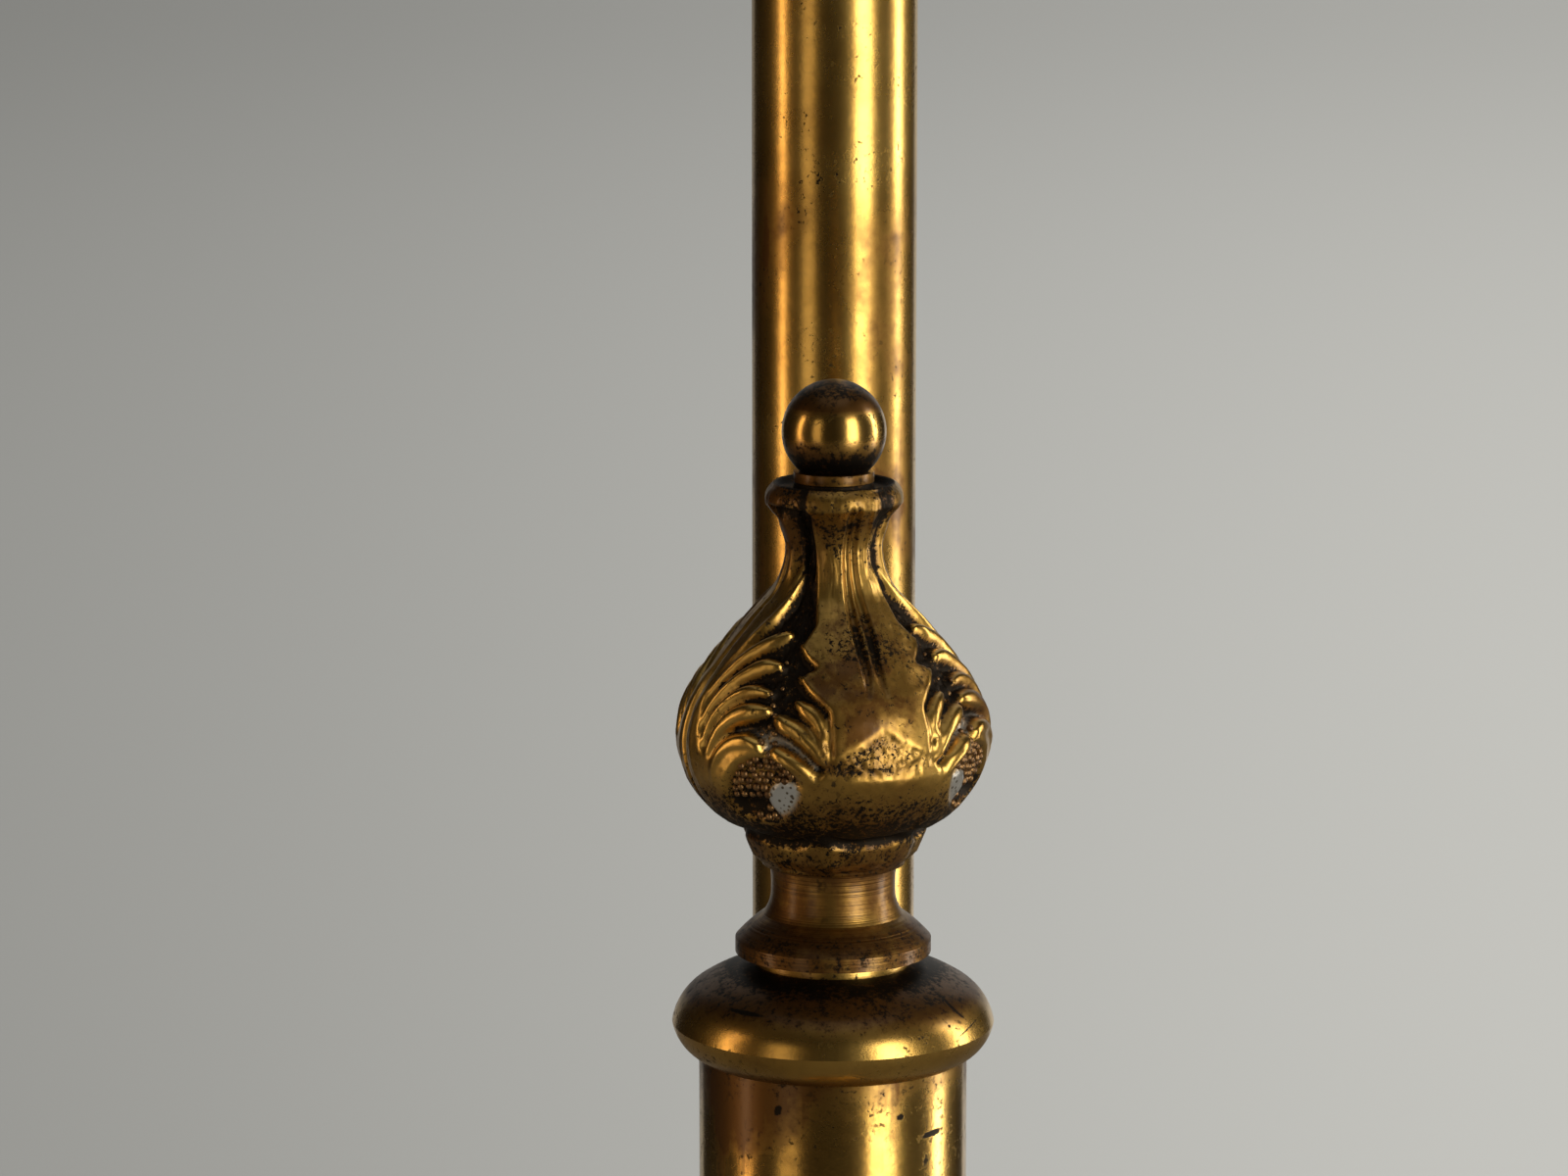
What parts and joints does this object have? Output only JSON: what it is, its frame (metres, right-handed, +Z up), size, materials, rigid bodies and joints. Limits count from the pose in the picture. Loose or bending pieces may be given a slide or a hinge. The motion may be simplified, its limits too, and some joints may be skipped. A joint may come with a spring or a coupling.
{
  "type": "pharmacy floor lamp",
  "caption": "Adjustable brass floor lamp: weighted round base, column with a cast leaf finial, sliding pole behind it, and a tilting arm with a hooded shade.",
  "frame": {"origin": "centre of the base's underside, on the column's axis", "axes": "+Z up along the column, -Y the front, the sliding pole on +Y, the arm and shade along +X at rest"},
  "size_m": [0.6716, 0.28, 1.37],
  "materials": {
    "felt": "wool felt",
    "iron": "rough cast",
    "base_brass": "aged, waxed, brown patina",
    "turned_brass": "turned and aged",
    "column_brass": "aged with brown stains",
    "raw_brass": "plain machined",
    "cap_brass": "spun, dark patina on top",
    "pedestal_brass": "turned, rings and brown patina",
    "cast_brass": "cast, black patina in the recesses",
    "dark_brass": "dark patina",
    "ball_brass": "polished with dark patina on top",
    "bracket_brass": "cast and dressed",
    "pole_brass": "drawn and polished",
    "arm_brass": "drawn and polished",
    "knob_brass": "fluted and polished",
    "shade_brass": "spun, aged outside, white enamel inside",
    "steel": "blackened",
    "nylon": "natural nylon",
    "black_rubber": "matt",
    "black_plastic": "phenolic",
    "black_knob": "polished phenolic",
    "bulb_metal": "rolled thread",
    "frosted_glass": "etched white inside"
  },
  "bodies": {
    "root": {"base_felt": "felt", "base_weight": "iron", "base_shell": "base_brass", "base_lock_nut": "steel", "base_lock_washer": "steel", "stem_nipple": "steel", "column_foot": "turned_brass", "column_tube": "column_brass", "column_bottom_insert": "raw_brass", "column_top_insert": "raw_brass", "column_cap": "cap_brass", "finial_stud": "steel", "finial_washer": "turned_brass", "finial_pedestal": "pedestal_brass", "finial_bulb": "cast_brass", "finial_disc": "dark_brass", "finial_ball": "ball_brass", "upper_bracket": "bracket_brass", "lower_bracket": "bracket_brass", "upper_guide_bush": "turned_brass", "lower_guide_bush": "turned_brass", "bracket_grub_screws": "steel"},
    "clamp_plug": {"clamp_pad": "nylon"},
    "clamp_thumb_screw": {"clamp_screw": "steel", "clamp_knob": "knob_brass"},
    "pole": {"pole_tube": "pole_brass", "pole_foot_ferrule": "turned_brass", "cord_bush": "black_rubber", "pole_top_ferrule": "turned_brass", "swivel_washer": "nylon"},
    "knuckle": {"swivel_knuckle": "turned_brass", "swivel_set_screw": "steel", "tilt_friction_washer": "nylon"},
    "arm": {"arm_hub": "turned_brass", "arm_tube": "arm_brass", "arm_tail_ball": "turned_brass", "tilt_bolt": "steel", "tilt_spring_washer": "steel", "arm_end_ferrule": "turned_brass"},
    "tilt_lock": {"tilt_knob": "knob_brass"},
    "head": {"head_collar": "turned_brass", "head_set_screw": "steel", "socket_cup": "turned_brass", "shade_ring": "turned_brass", "socket_insulator": "black_plastic", "socket_screw_shell": "raw_brass", "socket_contact": "raw_brass", "bulb_cap": "bulb_metal", "bulb_glass": "frosted_glass", "shade": "shade_brass", "shade_rim": "shade_brass", "switch_body": "black_plastic", "switch_bezel": "turned_brass"},
    "switch": {"switch_knob": "black_knob"}
  },
  "joints": [
    {"name": "pole_height", "type": "slide", "parent": "root", "child": "pole", "axis": [0, 0, 1], "range_m": [-0.2, 0.15]},
    {"name": "clamp_travel", "type": "slide", "parent": "root", "child": "clamp_plug", "axis": [0, 1, 0], "range_m": [0, 0.0015]},
    {"name": "clamp_turn", "type": "hinge", "parent": "clamp_plug", "child": "clamp_thumb_screw", "pos_m": [0, 0.095, 0.813], "axis": [0, 1, 0], "range_deg": [0, 540]},
    {"name": "knuckle_swivel", "type": "hinge", "parent": "pole", "child": "knuckle", "pos_m": [0, 0.095, 1.31], "axis": [0, 0, 1], "range_deg": [-145, 145]},
    {"name": "arm_tilt", "type": "hinge", "parent": "knuckle", "child": "arm", "pos_m": [0, 0.095, 1.33], "axis": [0, -1, 0], "range_deg": [-45, 75]},
    {"name": "tilt_knob_turn", "type": "hinge", "parent": "arm", "child": "tilt_lock", "pos_m": [0, 0.112, 1.33], "axis": [0, 1, 0], "range_deg": [0, 180]},
    {"name": "head_roll", "type": "hinge", "parent": "arm", "child": "head", "pos_m": [0.32, 0.075, 1.33], "axis": [1, 0, 0], "range_deg": [-130, 130]},
    {"name": "switch_turn", "type": "hinge", "parent": "head", "child": "switch", "pos_m": [0.315, 0.075, 1.3575], "axis": [1, 0, 0], "range_deg": [0, 300]}
  ],
  "couplings": [
    {"joint": "clamp_turn", "follows": "clamp_travel", "rad_per_m": 6283.2}
  ]
}
